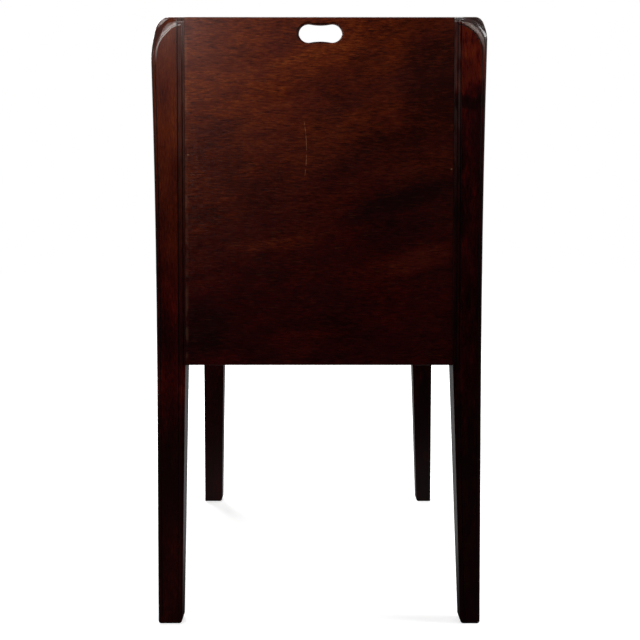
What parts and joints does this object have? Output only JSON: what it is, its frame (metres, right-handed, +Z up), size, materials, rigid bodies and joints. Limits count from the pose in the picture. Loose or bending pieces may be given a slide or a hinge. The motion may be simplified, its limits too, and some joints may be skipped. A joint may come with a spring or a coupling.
{
  "type": "sliding door cabinet",
  "caption": "Tray-top mahogany bedside cabinet on tapering legs, with sliding doors and hand-holds in its raised sides.",
  "frame": {"origin": "on the floor, under the middle of the cabinet", "axes": "+Z up, doors face -Y, +X to the right of a person who faces the doors"},
  "size_m": [0.53, 0.424, 0.775],
  "materials": {
    "mahogany_legs": "french polished, dark red-brown",
    "mahogany_sides": "french polished, figured, grain front to back",
    "mahogany_boards": "french polished, dark red-brown",
    "mahogany_rails": "french polished, dark red-brown",
    "mahogany_doors": "french polished, dark red-brown",
    "mahogany_door_panels": "french polished, figured",
    "oak_inside": "dry, unpolished",
    "brass": "aged"
  },
  "bodies": {
    "case": {"leg_front_left": "mahogany_legs", "leg_front_right": "mahogany_legs", "leg_back_left": "mahogany_legs", "leg_back_right": "mahogany_legs", "side_panel_left": "mahogany_sides", "side_panel_right": "mahogany_sides", "back_panel": "mahogany_boards", "tray_board": "mahogany_boards", "tray_front_lip": "mahogany_boards", "door_head": "mahogany_rails", "door_sill": "mahogany_rails", "floor_board": "oak_inside", "floor_blocks": "oak_inside", "tray_blocks": "oak_inside"},
    "front_door": {"front_door_stile_outer": "mahogany_doors", "front_door_stile_inner": "mahogany_doors", "front_door_rail_top": "mahogany_doors", "front_door_rail_bottom": "mahogany_doors", "front_door_panel": "mahogany_door_panels", "front_door_pull": "brass", "front_door_pull_pins": "brass"},
    "rear_door": {"rear_door_stile_outer": "mahogany_doors", "rear_door_stile_inner": "mahogany_doors", "rear_door_rail_top": "mahogany_doors", "rear_door_rail_bottom": "mahogany_doors", "rear_door_panel": "mahogany_door_panels", "rear_door_pull": "brass", "rear_door_pull_pins": "brass"}
  },
  "joints": [
    {"name": "front_door_slide", "type": "slide", "parent": "case", "child": "front_door", "axis": [1, 0, 0], "range_m": [0, 0.2165]},
    {"name": "rear_door_slide", "type": "slide", "parent": "case", "child": "rear_door", "axis": [-1, 0, 0], "range_m": [0, 0.2165]}
  ]
}
